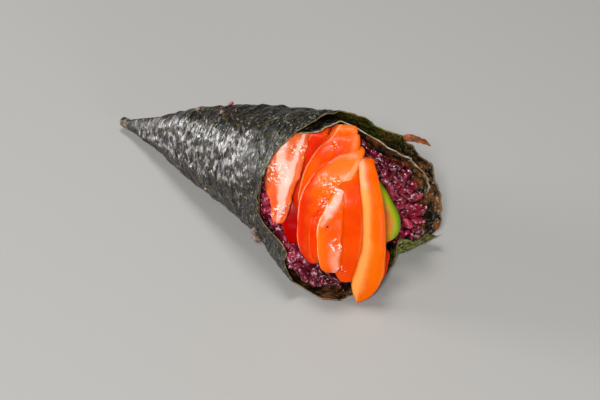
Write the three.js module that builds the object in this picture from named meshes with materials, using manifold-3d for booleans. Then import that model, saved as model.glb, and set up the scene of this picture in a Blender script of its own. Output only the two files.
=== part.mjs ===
// Salmon temaki: a hand roll of seaweed, dark rice, salmon and avocado, lying on its side.
//
// Millimetres, +Z up. The roll lies along X with its tip at the low end and its mouth at the
// high end, and it rests on its flattened underside at Z = 0. Angles go round the roll in
// degrees: 0 is straight down, 90 is the +Y side and 180 is the top.

import * as THREE from 'three';
import Module from 'manifold-3d';
import { mergeVertices } from 'three/addons/utils/BufferGeometryUtils.js';

// ---------------------------------------------------------------- driving sizes

const MIDDLE = new THREE.Vector3(60.348, 1.866, 0);  // middle of the roll's box, at its underside

const LENGTH = 118;             // from the tip to the mouth, on the floor
const HALF_WIDTH = 29.2;        // of the roll at that length
const CROWN = 54.5;             // height of the top at that length
const WIDTH_SWELL = 0.82;       // 1 would be a straight cone, more is a rounder one
const CROWN_SWELL = 1.6;
const WIDEST = 0.42;            // height of the widest place, as a share of the crown
const SIDE_SHIFT = -0.8;        // of the roll's middle, towards -Y
const SAG = 1.08;               // how far the underside is pressed against the floor
const NUB_RADIUS = 2;           // of the tip
const NUB_HEIGHT = 4.2;         // of its middle
const NUB_LENGTH = 8;           // the roll starts to widen here
const CROWN_FROM = 3;           // and its top starts to rise here
const NUB_END = -1;             // where the tip ends
const NUB_RISE = 14;            // over this length the round tip becomes the roll's tall section
const REST_FROM = 62;           // the underside comes down to the floor here
const NUB_CLOSING = 0.45;       // how much narrower the very tip is
const LEAST_RADIUS = 0.3;       // of the hollow left in the tip
const SQUARE_FROM = 80;         // the lower half is round before here
const SQUARE_TO = 100;          // and nearly square from here on
const SQUARENESS = 3.4;
const ROOF_SQUARENESS = 2.25;   // of the upper half

const SHEET = 0.7;              // thickness of the wet seaweed
const GAP = 0.35;               // clearance between pieces that touch
const FLOOR_TRIM = 0.05;        // the fillings stay this far above the floor
const START_ANGLE = 53;         // where the sheet's outer corner lies
const WINDING = 683;            // how far the sheet is wound in all
const WAVE = 0.45;              // height of the dents in the sheet
const CALM_END = 1.2;           // dents fade out over this angle next to the underside, in radians
const INNER_TIP = 20;           // the second turn starts this far from the tip
const CURL = 3.5;               // length of the upturned lip
const FREE_FROM = 45;           // from here to the mouth the inner turn stands off the outer one
const FREE_GROWTH = 1.5;        // 1 would be a straight line, more keeps it close for longer
const END_EASING = 30;          // degrees over which the space inside passes the sheet's inner end

// The sheet's edge at the mouth: degrees wound from its outer corner, and distance along X.
const RIM = [
  [0, 120.5], [11, 117.5], [17, 117], [26, 114.5], [29, 115.3], [39, 115.5], [49, 116],
  [70, 114.5], [85, 112.6], [94, 106], [97, 101.5], [109, 100], [121, 97.5], [128, 98],
  [134, 95.5], [137, 89], [143, 84], [147, 82.7], [165, 83], [184, 84.7], [204, 85.5],
  [222, 89], [237, 91.5], [251, 94], [261, 98], [273, 100], [280, 105], [302, 109.5],
  [309, 113.5], [328, 117], [343, 118.5], [355, 119], [370, 114], [420, 100], [500, 82],
  [573, 84], [583, 87], [590, 93], [608, 95], [616, 104], [626, 110], [644, 114], [674, 117.5],
  [683, 117],
];

// How far the edge is curled up off the floor at the sheet's outer end.
const LIP = [[0, 0], [11, 2.5], [17, 5.5], [26, 9], [28.5, 5], [32, 1.5], [38, 0.4], [48, 0]];

// How far the sheet lies inside its outer turn: close under it at first, then free at the mouth.
const CLOSE_INSET = [[0, 0], [335, 0], [358, 1.15], [683, 1.15]];
const FREE_INSET = [
  [0, 0], [560, 0], [590, 2.2], [608, 1.9], [616, 5], [626, 7.5], [644, 7], [674, 6], [683, 5.4],
];

// Where the rice ends at the mouth: angle and distance along X.
const RICE_EDGE = [
  [-180, 89.5], [-170, 88], [-151, 84.5], [-131, 83], [-94, 82], [-75, 93], [-56, 99],
  [-41, 105.5], [-32, 110], [-15, 112], [10, 109], [30, 107], [53, 109], [70, 113], [90, 114],
  [115, 112.5], [135, 109.5], [150, 102], [162, 93], [180, 89.5],
];
const RICE_HEART = new THREE.Vector3(96.5, 1, 21);   // middle of the rice's face, behind the fish
const RICE_GAP = 1;             // between the rice and the seaweed round it
const RICE_TIP = 9;             // where the rice starts

// The fish hangs over the mouth along this slanting plane: across, up and out of the mouth.
const FACE_ORIGIN = new THREE.Vector3(102.7, -5.9, 26.9);
const FACE_OUT = new THREE.Vector3(0.579, -0.643, 0.502).normalize();
const FACE_ACROSS = new THREE.Vector3(0.743, 0.669, 0).normalize();
const TIP = new THREE.Vector3(0, 0, NUB_HEIGHT);

// Slices of salmon, front ones first. Each row is a place on the spine, from the inner end of
// the part that shows to the free end: across, up, out, width and thickness.
const SALMON = {
  salmon_slice_1: [
    [8.4, 12.5, -1, 4, 3.6], [8.7, 12, 2.4, 4.6, 4], [9.5, 8, 5, 5.5, 4], [10.7, 0, 5.8, 6.5, 4],
    [11, -11, 4.2, 7.4, 4], [10.2, -20.5, 1.8, 8.8, 3.4], [6.8, -29.2, -0.6, 3.4, 2.2],
  ],
  salmon_slice_2: [
    [-0.5, 6, 2.4, 3.5, 3.4], [-1.2, 3, 6.4, 5, 3.4], [-2.3, -4, 7.1, 6.4, 3.8],
    [-2.2, -12, 6, 6.4, 3.6], [-1.6, -19, 2.4, 4.6, 3],
  ],
  salmon_slice_3: [
    [-5.4, -1, 3.4, 2, 2], [-6.4, -5, 5.9, 3.2, 2.2], [-6.5, -10, 5.6, 3.2, 2.2],
    [-6.2, -14.5, 4, 2.2, 2],
  ],
  salmon_slice_4: [
    [5, 9, 0.8, 4.6, 4], [4.8, 8.5, 4.4, 6.6, 4], [4.4, 1, 6, 7.6, 4.2], [3.9, -11, 4.6, 7.8, 4],
    [3.2, -20.5, 1.2, 6, 3.4],
  ],
  salmon_slice_5: [
    [1, 16, -0.6, 4.4, 3.6], [3.8, 15.2, 2.6, 5.4, 3.6], [-1.5, 9.8, 3.4, 8.6, 3.6],
    [-6.6, 2.5, 3.4, 9, 3.6], [-8.4, -5, 3.2, 7.4, 3.6], [-8.2, -11.5, 2, 6, 3.4],
    [-6.2, -16.5, 0.4, 3, 2.6],
  ],
  salmon_slice_6: [
    [2.4, 22, -3.6, 5, 3.4], [2.4, 21.6, -0.8, 8, 3.4], [0.2, 17, 0.2, 9.4, 3.4],
    [-4, 11.4, 0.2, 8.4, 3.2], [-7.6, 4.8, -0.2, 6.4, 3], [-9.4, -1, -1, 4, 2.6],
  ],
  salmon_slice_7: [
    [-4.6, 21.6, -6, 4.6, 3], [-5.6, 21, -3, 6.2, 3], [-7.4, 16.5, -2.6, 6.2, 3],
    [-8.6, 10, -2.8, 5.8, 3], [-9.8, 2.8, -3.6, 4.6, 2.8], [-10.2, -3.6, -4.6, 2.6, 2.4],
  ],
  salmon_slice_8: [
    [-11.2, 20.6, -5.6, 4, 3.2], [-12.2, 19, -1.8, 6.4, 3.6], [-14.6, 15, -0.6, 9, 3.8],
    [-15.9, 9.5, -0.4, 9.2, 3.8], [-16, 3.5, -1, 6.6, 3.6], [-16.2, -2, -1.4, 4.8, 3.2],
    [-16.8, -5.6, -2.2, 3, 2.4],
  ],
  salmon_slice_9: [
    [-12.4, 12, -6.6, 3.4, 3], [-11.4, 8.5, -6, 4.4, 3], [-11.9, 1, -5.4, 5.6, 3],
    [-12.6, -5.5, -4.4, 6, 3], [-12, -11.8, -4, 3.6, 2.4],
  ],
  salmon_slice_10: [
    [13.4, -15, -5, 3.2, 2.8], [14.2, -17.5, -2.6, 3.8, 2.8], [14, -22.3, -3.4, 2.6, 2.4],
  ],
};

// The avocado wedge's outline in the face's plane, from its upper corner round the rind side.
const AVOCADO = [
  [8.5, 8], [12, 7.5], [14.8, 4.6], [17.2, 0.4], [19.2, -3.6], [19.6, -7], [18.6, -10],
  [15.4, -12], [11, -12.5], [8.5, -12.5],
];
const AVOCADO_MIDDLE = new THREE.Vector2(14, -3);
const AVOCADO_OUT = -1.5;       // where its rounded end lies, out of the plane
const AVOCADO_BODY = [0.45, 0.62, 0.8];             // its straight part: shares of the way to the mouth
const AVOCADO_END = [[1, -1.6], [0.95, -0.7], [0.8, 0], [0.4, 0.4]];   // size of its outline, and height

const CORE_SHARE = 0.45;        // fish reaches back to this share of the way to the mouth
const MOUTH_DISTANCE = 105;     // of the mouth's middle, from the tip
const GRAIN = { length: 6.6, width: 2.9, thickness: 2.5, shortest: 0.72 };
const GRAIN_LIFT = [0.4, 0.9];  // a grain's middle stands this far off the face, least and most
const GRAIN_TILT = 0.5;         // spread of its heading out of the face
const GRAIN_TRIALS = 86;
const GRAIN_SEED = 7;

// ---------------------------------------------------------------- small tools

const wasm = await Module();
wasm.setup();
const radians = THREE.MathUtils.degToRad;
const { clamp, lerp, smoothstep } = THREE.MathUtils;
const FACE_UP = new THREE.Vector3().crossVectors(FACE_OUT, FACE_ACROSS);

function lookUp(table, at) {
  if (at <= table[0][0]) return table[0][1];
  const next = table.findIndex(([key]) => key > at);
  if (next < 0) return table.at(-1)[1];
  const [[fromKey, from], [toKey, to]] = [table[next - 1], table[next]];
  return lerp(from, to, (at - fromKey) / (toKey - fromKey));
}

// A smooth curve through rows of numbers, share 0 to 1.
function along(rows, share) {
  const place = share * (rows.length - 1);
  const from = Math.min(Math.floor(place), rows.length - 2);
  const f = place - from;
  const row = (k) => rows[clamp(k, 0, rows.length - 1)];
  const [a, b, c, d] = [row(from - 1), row(from), row(from + 1), row(from + 2)];
  return b.map((value, k) => {
    const bend = 2 * a[k] - 5 * value + 4 * c[k] - d[k];
    const twist = 3 * value - a[k] - 3 * c[k] + d[k];
    return value + 0.5 * f * (c[k] - a[k] + f * (bend + f * twist));
  });
}

// The same draws every time, each from 0 to 1.
function seeded(seed) {
  let state = seed;
  return () => {
    state = (state * 1664525 + 1013904223) % 4294967296;
    return state / 4294967296;
  };
}

function closedGeometry(points, triangles) {
  let volume = 0;
  for (const [a, b, c] of triangles) {
    volume += points[a].dot(new THREE.Vector3().crossVectors(points[b], points[c]));
  }
  const facing = volume > 0 ? triangles : triangles.map(([a, b, c]) => [a, c, b]);
  const geometry = new THREE.BufferGeometry();
  const numbers = points.flatMap((point) => point.toArray());
  geometry.setAttribute('position', new THREE.Float32BufferAttribute(numbers, 3));
  geometry.setIndex(facing.flat());
  return geometry;
}

// A skin over rings of equally many points, closed at both ends by a fan.
function loft(rings) {
  const count = rings[0].length;
  const points = rings.flat();
  const triangles = [];
  for (let r = 0; r < rings.length - 1; r += 1) {
    for (let k = 0; k < count; k += 1) {
      const [a, b] = [r * count + k, r * count + (k + 1) % count];
      triangles.push([a, b, b + count], [a, b + count, a + count]);
    }
  }
  for (const [ring, turned] of [[0, true], [rings.length - 1, false]]) {
    const middle = new THREE.Vector3();
    for (const point of rings[ring]) middle.addScaledVector(point, 1 / count);
    points.push(middle);
    for (let k = 0; k < count; k += 1) {
      const [a, b] = [ring * count + k, ring * count + (k + 1) % count];
      triangles.push(turned ? [b, a, points.length - 1] : [a, b, points.length - 1]);
    }
  }
  return closedGeometry(points, triangles);
}

// A thin sheet with two faces that are split into triangles alike, and a wall round its edge.
function sheet(columns, rows, place) {
  const points = [];
  for (const face of [0, 1]) {
    for (let r = 0; r <= rows; r += 1) {
      for (let c = 0; c <= columns; c += 1) points.push(place(c, r, face));
    }
  }
  const at = (face, c, r) => (face * (rows + 1) + r) * (columns + 1) + c;
  const triangles = [];
  for (let r = 0; r < rows; r += 1) {
    for (let c = 0; c < columns; c += 1) {
      const [a, b, d, e] = [[c, r], [c + 1, r], [c + 1, r + 1], [c, r + 1]];
      triangles.push([at(0, ...a), at(0, ...b), at(0, ...d)], [at(0, ...a), at(0, ...d), at(0, ...e)]);
      triangles.push([at(1, ...a), at(1, ...d), at(1, ...b)], [at(1, ...a), at(1, ...e), at(1, ...d)]);
    }
  }
  const wall = (a, b) => {
    triangles.push([at(0, ...b), at(0, ...a), at(1, ...a)], [at(0, ...b), at(1, ...a), at(1, ...b)]);
  };
  for (let c = 0; c < columns; c += 1) {
    wall([c, 0], [c + 1, 0]);
    wall([c + 1, rows], [c, rows]);
  }
  for (let r = 0; r < rows; r += 1) {
    wall([columns, r], [columns, r + 1]);
    wall([0, r + 1], [0, r]);
  }
  return closedGeometry(points, triangles);
}

function toSolid(geometry) {
  const bare = geometry.clone();
  bare.deleteAttribute('normal');
  bare.deleteAttribute('uv');
  const merged = mergeVertices(bare, 1e-4);
  return new wasm.Manifold(new wasm.Mesh({
    numProp: 3,
    vertProperties: new Float32Array(merged.attributes.position.array),
    triVerts: new Uint32Array(merged.index.array),
  }));
}

// The largest body of a solid, as geometry: scraps that a cut leaves loose are dropped.
function toGeometry(solid) {
  const bodies = solid.decompose();
  const largest = bodies.reduce((best, body) => (body.volume() > best.volume() ? body : best));
  const mesh = largest.getMesh();
  const geometry = new THREE.BufferGeometry();
  geometry.setAttribute('position', new THREE.BufferAttribute(mesh.vertProperties, 3));
  geometry.setIndex(new THREE.BufferAttribute(mesh.triVerts, 1));
  return geometry;
}

// ---------------------------------------------------------------- the roll's form

const shareAt = (x, from) => clamp((x - from) / (LENGTH - from), 0, 1);
const grownAt = (x, from, swell) => 1 - (1 - shareAt(x, from)) ** swell;
const crownAt = (x) => lerp(NUB_HEIGHT + NUB_RADIUS, CROWN, grownAt(x, CROWN_FROM, CROWN_SWELL));
const halfWidthAt = (x) => lerp(NUB_RADIUS, HALF_WIDTH, grownAt(x, NUB_LENGTH, WIDTH_SWELL));
const floorAt = (x) => (NUB_HEIGHT - NUB_RADIUS) * clamp(1 - x / REST_FROM, 0, 1);

function dents(x, angle) {
  const a = radians(angle);
  const share = clamp(x / LENGTH, 0, 1) * smoothstep(Math.abs(a % (2 * Math.PI)), 0, CALM_END);
  return WAVE * share * (Math.sin(3 * a + x / 9) + Math.sin(5 * a - x / 13) + Math.sin(8 * a + x / 6));
}

// A point on the roll: inset is how deep it lies under the sheet's outer face.
function rollPoint(x, angle, inset) {
  const turned = radians(angle);
  const [sine, cosine] = [Math.sin(turned), Math.cos(turned)];
  const floor = floorAt(x);
  const middle = lerp(NUB_HEIGHT, WIDEST * crownAt(x), clamp(x / NUB_RISE, 0, 1));
  const half = halfWidthAt(x);
  const tall = cosine < 0 ? crownAt(x) - middle : (middle - floor) * SAG;
  const power = cosine < 0 ? ROOF_SQUARENESS : lerp(2, SQUARENESS, smoothstep(x, SQUARE_FROM, SQUARE_TO));
  const reach = (Math.abs(sine / half) ** power + Math.abs(cosine / tall) ** power) ** (-1 / power);
  let radius = reach + dents(x, angle) - inset;
  if (cosine > 0) radius = Math.min(radius, (middle - floor - inset) / cosine);
  const shrunk = x < 0 ? 1 - NUB_CLOSING * (x / NUB_END) : 1;
  radius = Math.max(radius * shrunk, LEAST_RADIUS);
  const aside = SIDE_SHIFT * clamp(x / NUB_RISE, 0, 1);
  return new THREE.Vector3(x, aside + radius * sine, middle - radius * cosine);
}

// How far a turn of the sheet lies inside the outermost one at x.
function turnInset(x, turn) {
  const free = clamp((x - FREE_FROM) / (lookUp(RIM, turn) - FREE_FROM), 0, 1) ** FREE_GROWTH;
  return lookUp(CLOSE_INSET, turn) + lookUp(FREE_INSET, turn) * free;
}

// How far the space inside all turns lies under the outer face.
function spaceInset(x, angle) {
  const turn = THREE.MathUtils.euclideanModulo(START_ANGLE - angle, 360);
  const inner = turn < WINDING - 360 ? turn + 360 : turn;
  const easing = 1 - clamp((inner - (WINDING - 360)) / END_EASING, 0, 1);
  return Math.max(turnInset(x, inner), turnInset(x, WINDING) * easing) + SHEET + RICE_GAP;
}

// ---------------------------------------------------------------- seaweed

const NORI_COLUMNS = 76;
const NORI_ROWS = [0, 0.05, 0.12, 0.24, 0.38, 0.54, 0.7, 0.86];   // then the lip
const LIP_ROWS = 3;
const INNER_START = [338, 357]; // the second turn's start draws back from the tip between these
const COLUMN_EASING = 0.35;     // 0 would space the columns evenly

// Columns lie closer together at the sheet's outer end, where the lip is.
function turnOfColumn(column) {
  const share = column / NORI_COLUMNS;
  return lerp(WINDING * share, WINDING * share ** 2, COLUMN_EASING);
}

function noriWrap(grow) {
  const rows = NORI_ROWS.length - 1 + LIP_ROWS;
  return sheet(NORI_COLUMNS, rows, (column, row, face) => {
    const turn = turnOfColumn(column);
    const reach = lookUp(RIM, turn);
    const start = lerp(NUB_END, INNER_TIP, smoothstep(turn, ...INNER_START));
    const inLip = Math.max(row - NORI_ROWS.length + 1, 0) / LIP_ROWS;
    const flat = reach - CURL;
    const x = inLip > 0 ? lerp(flat, reach, inLip) : lerp(start, flat, NORI_ROWS[row] / NORI_ROWS.at(-1));
    const depth = face === 0 ? -grow : SHEET + grow;
    const point = rollPoint(x, START_ANGLE - turn, turnInset(x, turn) + depth);
    point.z += lookUp(LIP, turn) * inLip ** 2;
    if (inLip === 1) point.x += grow;
    return point;
  });
}

// ---------------------------------------------------------------- fish and avocado

function facePoint(across, up, out) {
  return FACE_ORIGIN.clone()
    .addScaledVector(FACE_ACROSS, across)
    .addScaledVector(FACE_UP, up)
    .addScaledVector(FACE_OUT, out);
}

const SLICE_STEPS = 11;
const SLICE_SIDES = 10;
const THROAT_SHARE = 0.86;      // a slice runs straight up to here and then bends
const SPINE_STEP = 0.02;        // to either side of a place, to find its heading
const SLICE_BOXINESS = 0.8;     // 1 would give an oval section, less a boxier one

// A slice runs straight from deep in the roll to its throat, and then bends along its spine.
function salmonSlice(rows, grow) {
  const [first] = rows;
  const mouth = facePoint(first[0], first[1], first[2]);
  const inward = (share) => [...TIP.clone().lerp(mouth, share), first[3] * share, first[4] * share];
  const shown = rows.map(([across, up, out, ...size]) => [...facePoint(across, up, out), ...size]);
  const spine = [inward(THROAT_SHARE), ...shown];
  const rings = [];
  for (let step = -1; step <= SLICE_STEPS; step += 1) {
    const share = Math.max(step / SLICE_STEPS, 0);
    const inner = inward(CORE_SHARE - grow / MOUTH_DISTANCE);
    const [x, y, z, width, thickness] = step < 0 ? inner : along(spine, share);
    const ahead = along(spine, Math.min(share + SPINE_STEP, 1));
    const behind = along(spine, Math.max(share - SPINE_STEP, 0));
    const heading = new THREE.Vector3(ahead[0] - behind[0], ahead[1] - behind[1], ahead[2] - behind[2]);
    heading.normalize();
    const side = FACE_ACROSS.clone().addScaledVector(heading, -heading.dot(FACE_ACROSS)).normalize();
    const face = new THREE.Vector3().crossVectors(heading, side);
    const ring = [];
    for (let k = 0; k < SLICE_SIDES; k += 1) {
      const turned = (2 * Math.PI * k) / SLICE_SIDES;
      const [c, s] = [Math.cos(turned), Math.sin(turned)];
      const point = new THREE.Vector3(x, y, z);
      if (step === SLICE_STEPS) point.addScaledVector(heading, grow);
      point.addScaledVector(side, (width / 2 + grow) * Math.sign(c) * Math.abs(c) ** SLICE_BOXINESS);
      point.addScaledVector(face, (thickness / 2 + grow) * Math.sign(s) * Math.abs(s) ** SLICE_BOXINESS);
      ring.push(point);
    }
    rings.push(ring);
  }
  return loft(rings);
}

function avocadoWedge(grow) {
  const end = AVOCADO_END.map(([scale, height]) => AVOCADO.map(([across, up]) => {
    const from = new THREE.Vector2(across, up).sub(AVOCADO_MIDDLE);
    from.setLength(from.length() * scale + grow).add(AVOCADO_MIDDLE);
    return facePoint(from.x, from.y, AVOCADO_OUT + height + (height < 0 ? 0 : grow));
  }));
  const inward = (share) => end[0].map((point) => TIP.clone().lerp(point, share - grow / MOUTH_DISTANCE));
  return loft([...AVOCADO_BODY.map(inward), ...end]);
}

// ---------------------------------------------------------------- rice

const RICE_COLUMNS = 30;
const RICE_ROWS = 8;
const FACE_ROWS = [1, 0.75, 0.5, 0.25];

function riceEdge(angle) {
  const x = lookUp(RICE_EDGE, angle);
  return rollPoint(x, angle, spaceInset(x, angle));
}

// A point on the rice's face at the mouth, share 0 in its middle and 1 at its edge.
function riceFace(angle, share) {
  return RICE_HEART.clone().lerp(riceEdge(angle), share);
}

function riceCore() {
  const angles = Array.from({ length: RICE_COLUMNS }, (_, k) => -180 + (360 * k) / RICE_COLUMNS);
  const rings = [];
  for (let row = 0; row < RICE_ROWS; row += 1) {
    rings.push(angles.map((angle) => {
      const x = lerp(RICE_TIP, lookUp(RICE_EDGE, angle), row / RICE_ROWS);
      return rollPoint(x, angle, spaceInset(x, angle));
    }));
  }
  for (const share of FACE_ROWS) rings.push(angles.map((angle) => riceFace(angle, share)));
  return loft(rings);
}

const GRAIN_SIDES = 5;
const GRAIN_RINGS = [[-0.36, 0.72], [0, 1], [0.36, 0.74]];   // place along it, share of its width
const SPREAD = [0.5698403, 0.7548777];   // steps that spread points evenly over a square
const GRAIN_EDGE = 0.97;        // grains lie within this share of the way to the face's edge
const FACE_STEP = [4, 0.02];    // a small step on the face, in degrees and share

function grain(centre, heading, outward, scale) {
  const side = new THREE.Vector3().crossVectors(heading, outward).normalize();
  const points = [];
  for (const [place, share] of GRAIN_RINGS) {
    for (let k = 0; k < GRAIN_SIDES; k += 1) {
      const turned = (2 * Math.PI * k) / GRAIN_SIDES;
      const point = centre.clone().addScaledVector(heading, place * GRAIN.length * scale);
      point.addScaledVector(side, 0.5 * GRAIN.width * share * Math.cos(turned));
      point.addScaledVector(outward, 0.5 * GRAIN.thickness * share * Math.sin(turned));
      points.push(point);
    }
  }
  const triangles = [];
  for (let ring = 0; ring < 2; ring += 1) {
    for (let k = 0; k < GRAIN_SIDES; k += 1) {
      const [a, b] = [ring * GRAIN_SIDES + k, ring * GRAIN_SIDES + (k + 1) % GRAIN_SIDES];
      triangles.push([a, b, b + GRAIN_SIDES], [a, b + GRAIN_SIDES, a + GRAIN_SIDES]);
    }
  }
  const last = 2 * GRAIN_SIDES;
  points.push(centre.clone().addScaledVector(heading, -0.5 * GRAIN.length * scale));
  points.push(centre.clone().addScaledVector(heading, 0.5 * GRAIN.length * scale));
  for (let k = 0; k < GRAIN_SIDES; k += 1) {
    const next = (k + 1) % GRAIN_SIDES;
    triangles.push([next, k, points.length - 2], [last + k, last + next, points.length - 1]);
  }
  return toSolid(closedGeometry(points, triangles));
}

// Grains over the rice's face, largest first and spread evenly. One that would cross the
// seaweed, the fish or the avocado is shortened, and left out if it still crosses.
function grainsClearOf(others) {
  const random = seeded(GRAIN_SEED);
  const placed = [];
  for (let trial = 1; trial <= GRAIN_TRIALS; trial += 1) {
    const angle = 360 * ((trial * SPREAD[0]) % 1) - 180;
    const share = Math.sqrt((trial * SPREAD[1]) % 1) * GRAIN_EDGE;
    const centre = riceFace(angle, share);
    const around = riceFace(angle + FACE_STEP[0], share).sub(centre);
    const outwards = riceFace(angle, share + FACE_STEP[1]).sub(centre);
    const normal = new THREE.Vector3().crossVectors(around, outwards).normalize();
    if (normal.x < 0) normal.negate();
    const heading = around.normalize().applyAxisAngle(normal, Math.PI * random());
    const tipped = heading.clone().addScaledVector(normal, GRAIN_TILT * (random() - 0.5)).normalize();
    const outward = normal.addScaledVector(tipped, -normal.dot(tipped)).normalize();
    centre.addScaledVector(outward, lerp(...GRAIN_LIFT, random()));
    const size = lerp(1, GRAIN.shortest, trial / GRAIN_TRIALS);
    for (const scale of [size, size * GRAIN.shortest]) {
      const piece = grain(centre, tipped, outward, scale);
      if (others.intersect(piece).volume() === 0) {
        placed.push(piece);
        break;
      }
    }
  }
  return placed;
}

// ---------------------------------------------------------------- putting it together

const PAINT = {
  seaweed: new THREE.MeshStandardMaterial({ color: '#23291c', roughness: 0.45, metalness: 0 }),
  rice: new THREE.MeshStandardMaterial({ color: '#5d1730', roughness: 0.35, metalness: 0 }),
  salmon: new THREE.MeshStandardMaterial({ color: '#f4631c', roughness: 0.25, metalness: 0 }),
  avocado: new THREE.MeshStandardMaterial({ color: '#a9b23a', roughness: 0.4, metalness: 0 }),
};

const roll = new THREE.Group();
roll.position.copy(MIDDLE).negate();

function add(name, geometry, paint) {
  const mesh = new THREE.Mesh(geometry, paint);
  mesh.name = name;
  roll.add(mesh);
}

add('nori_wrap', noriWrap(0), PAINT.seaweed);

// Everything under the floor is cut away, as is whatever a piece shares with one before it.
const TABLE = { side: 400, depth: 50 };
const table = new THREE.BoxGeometry(TABLE.side, TABLE.side, TABLE.depth);
table.translate(0, 0, FLOOR_TRIM - TABLE.depth / 2);
let taken = toSolid(noriWrap(GAP)).add(toSolid(table));

function fit(name, shape, paint) {
  add(name, toGeometry(toSolid(shape(0)).subtract(taken)), paint);
  taken = taken.add(toSolid(shape(GAP)));
}

for (const [name, rows] of Object.entries(SALMON)) {
  fit(name, (grow) => salmonSlice(rows, grow), PAINT.salmon);
}
fit('avocado_wedge', avocadoWedge, PAINT.avocado);

const bareRice = toSolid(riceCore()).subtract(taken);
const riceHeap = wasm.Manifold.union([bareRice, ...grainsClearOf(taken)]);
add('rice_heap', toGeometry(riceHeap), PAINT.rice);

const handRoll = new THREE.Group();
handRoll.add(roll);

export default handRoll;
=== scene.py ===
"""Looks of a salmon temaki hand roll lying on its side.

Shapes are worked out in millimetres in the roll's own layout: x runs from the tip to the mouth,
z is height, and angles go round the roll in degrees, 0 straight down, 90 the +Y side and 180 the
top. metres() brings them into the frame of the solids.
"""

import math
import random
from functools import partial

import bpy
import numpy as np
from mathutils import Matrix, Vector, noise
from mathutils.bvhtree import BVHTree
from numpy.linalg import norm


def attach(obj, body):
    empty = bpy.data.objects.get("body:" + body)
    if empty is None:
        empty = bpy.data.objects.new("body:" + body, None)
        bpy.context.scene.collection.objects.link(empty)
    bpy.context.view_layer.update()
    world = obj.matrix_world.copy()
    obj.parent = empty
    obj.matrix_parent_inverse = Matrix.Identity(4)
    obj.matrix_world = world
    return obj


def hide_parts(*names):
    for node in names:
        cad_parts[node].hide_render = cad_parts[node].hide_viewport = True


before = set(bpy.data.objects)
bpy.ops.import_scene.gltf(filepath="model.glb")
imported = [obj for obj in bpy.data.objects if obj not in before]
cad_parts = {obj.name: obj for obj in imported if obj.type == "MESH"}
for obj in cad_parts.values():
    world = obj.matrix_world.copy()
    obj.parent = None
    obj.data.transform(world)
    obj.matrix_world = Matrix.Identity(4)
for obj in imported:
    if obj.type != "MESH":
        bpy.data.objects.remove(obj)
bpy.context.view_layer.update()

# ---- sizes of the roll

MIDDLE = np.array([60.348, 1.866, 0.0])  # middle of the roll's box, at its underside
LENGTH = 118
HALF_WIDTH = 29.2  # at the mouth
CROWN = 54.5  # height of the roll's top at the mouth
CROWN_FROM = 3  # where along x the top starts to rise
CROWN_SWELL = 1.6  # above 1 it grows fastest near the tip
WIDTH_SWELL = 0.82
WIDEST = 0.42  # the roll is widest at this share of its height
SIDE_SHIFT = -0.8  # how far its middle lies to the side
SAG = 1.08  # its lower half hangs this much lower, and the floor flattens it
REST_FROM = 62  # it rests on the floor from here to the mouth
NUB_RADIUS = 2  # the tip is a short twisted stalk
NUB_HEIGHT = 4.2
NUB_LENGTH = 8
NUB_END = -1  # where the stalk ends, along x
NUB_RISE = 14  # from here the widest line is at its share of the height
NUB_CLOSING = 0.75  # how far the stalk closes at its end
NUB_DROOP = 0.9  # how far the tip hangs down
PINCH = 0.2  # how much thinner the roll is pinched at its tip
PINCH_FADES = (16, 38)  # along x, where that ends
LEAST_RADIUS = 0.3
SQUARED_OVER = (80, 100)  # along x, where the lower half gets squarer
SQUARENESS = 3.4
ROOF_SQUARENESS = 2.25
WAVE = 0.45  # height of the dents in the roll's form
CALM_END = 1.2  # radians from the underside over which the dents begin

SHEET = 0.35  # thickness of the wet seaweed
START_ANGLE = 53  # where the sheet's outer corner lies
WINDING = 683  # how far the sheet is wound in all
INNER_TIP = 20  # where along x the sheet's inner turns start
CURL = 3.5  # width of the sheet's curled edge
FREE_FROM = 45  # from here the inner turns draw away from the outer one
FREE_GROWTH = 1.5
END_EASING = 30  # degrees past the sheet's inner end over which the space widens

# The sheet's edge at the mouth: degrees wound from its outer corner, and distance along x.
RIM = [
    (0, 120.5), (11, 117.5), (17, 117), (26, 114.5), (29, 115.3), (39, 115.5), (49, 116),
    (70, 114.5), (85, 112.6), (94, 106), (97, 101.5), (109, 100), (121, 97.5), (128, 98),
    (134, 95.5), (137, 89), (143, 84), (147, 82.7), (165, 83), (184, 84.7), (204, 85.5),
    (222, 89), (237, 91.5), (251, 94), (261, 98), (273, 100), (280, 105), (302, 109.5),
    (309, 113.5), (328, 117), (343, 118.5), (355, 119), (370, 114), (420, 100), (500, 82),
    (573, 84), (583, 87), (590, 93), (608, 95), (616, 104), (626, 110), (644, 114),
    (674, 117.5), (683, 117),
]
# How far the edge is curled up off the floor at the sheet's outer end.
LIP = [(0, 2.4), (11, 4.2), (17, 6.5), (26, 9.4), (28.5, 5), (32, 1.5), (38, 0.4), (48, 0)]
# How far the sheet lies inside its outer turn: close under it at first, then free at the mouth.
CLOSE_INSET = [(0, 0), (335, 0), (358, 1.15), (683, 1.15)]
FREE_INSET = [
    (0, 0), (560, 0), (590, 2.2), (608, 1.9), (616, 5), (626, 7.5), (644, 7), (674, 6), (683, 5.4),
]

# Where the rice ends at the mouth: angle and distance along x.
RICE_EDGE = [
    (-180, 89.5), (-170, 88), (-151, 84.5), (-131, 83), (-94, 82), (-75, 93), (-56, 99),
    (-41, 105.5), (-32, 110), (-15, 112), (10, 109), (28, 108.5), (42, 112.5), (53, 114.5),
    (66, 115), (90, 115), (115, 112.5), (135, 109.5), (150, 102), (162, 93), (180, 89.5),
]
RICE_HEART = np.array([96.5, 1.0, 21.0])  # middle of its face at the mouth
RICE_GAP = 1  # between the rice's core and the seaweed
RICE_TIP = 9  # where along x the rice starts
GRAIN = {"length": 6.6, "width": 2.9, "thickness": 2.5}

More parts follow.
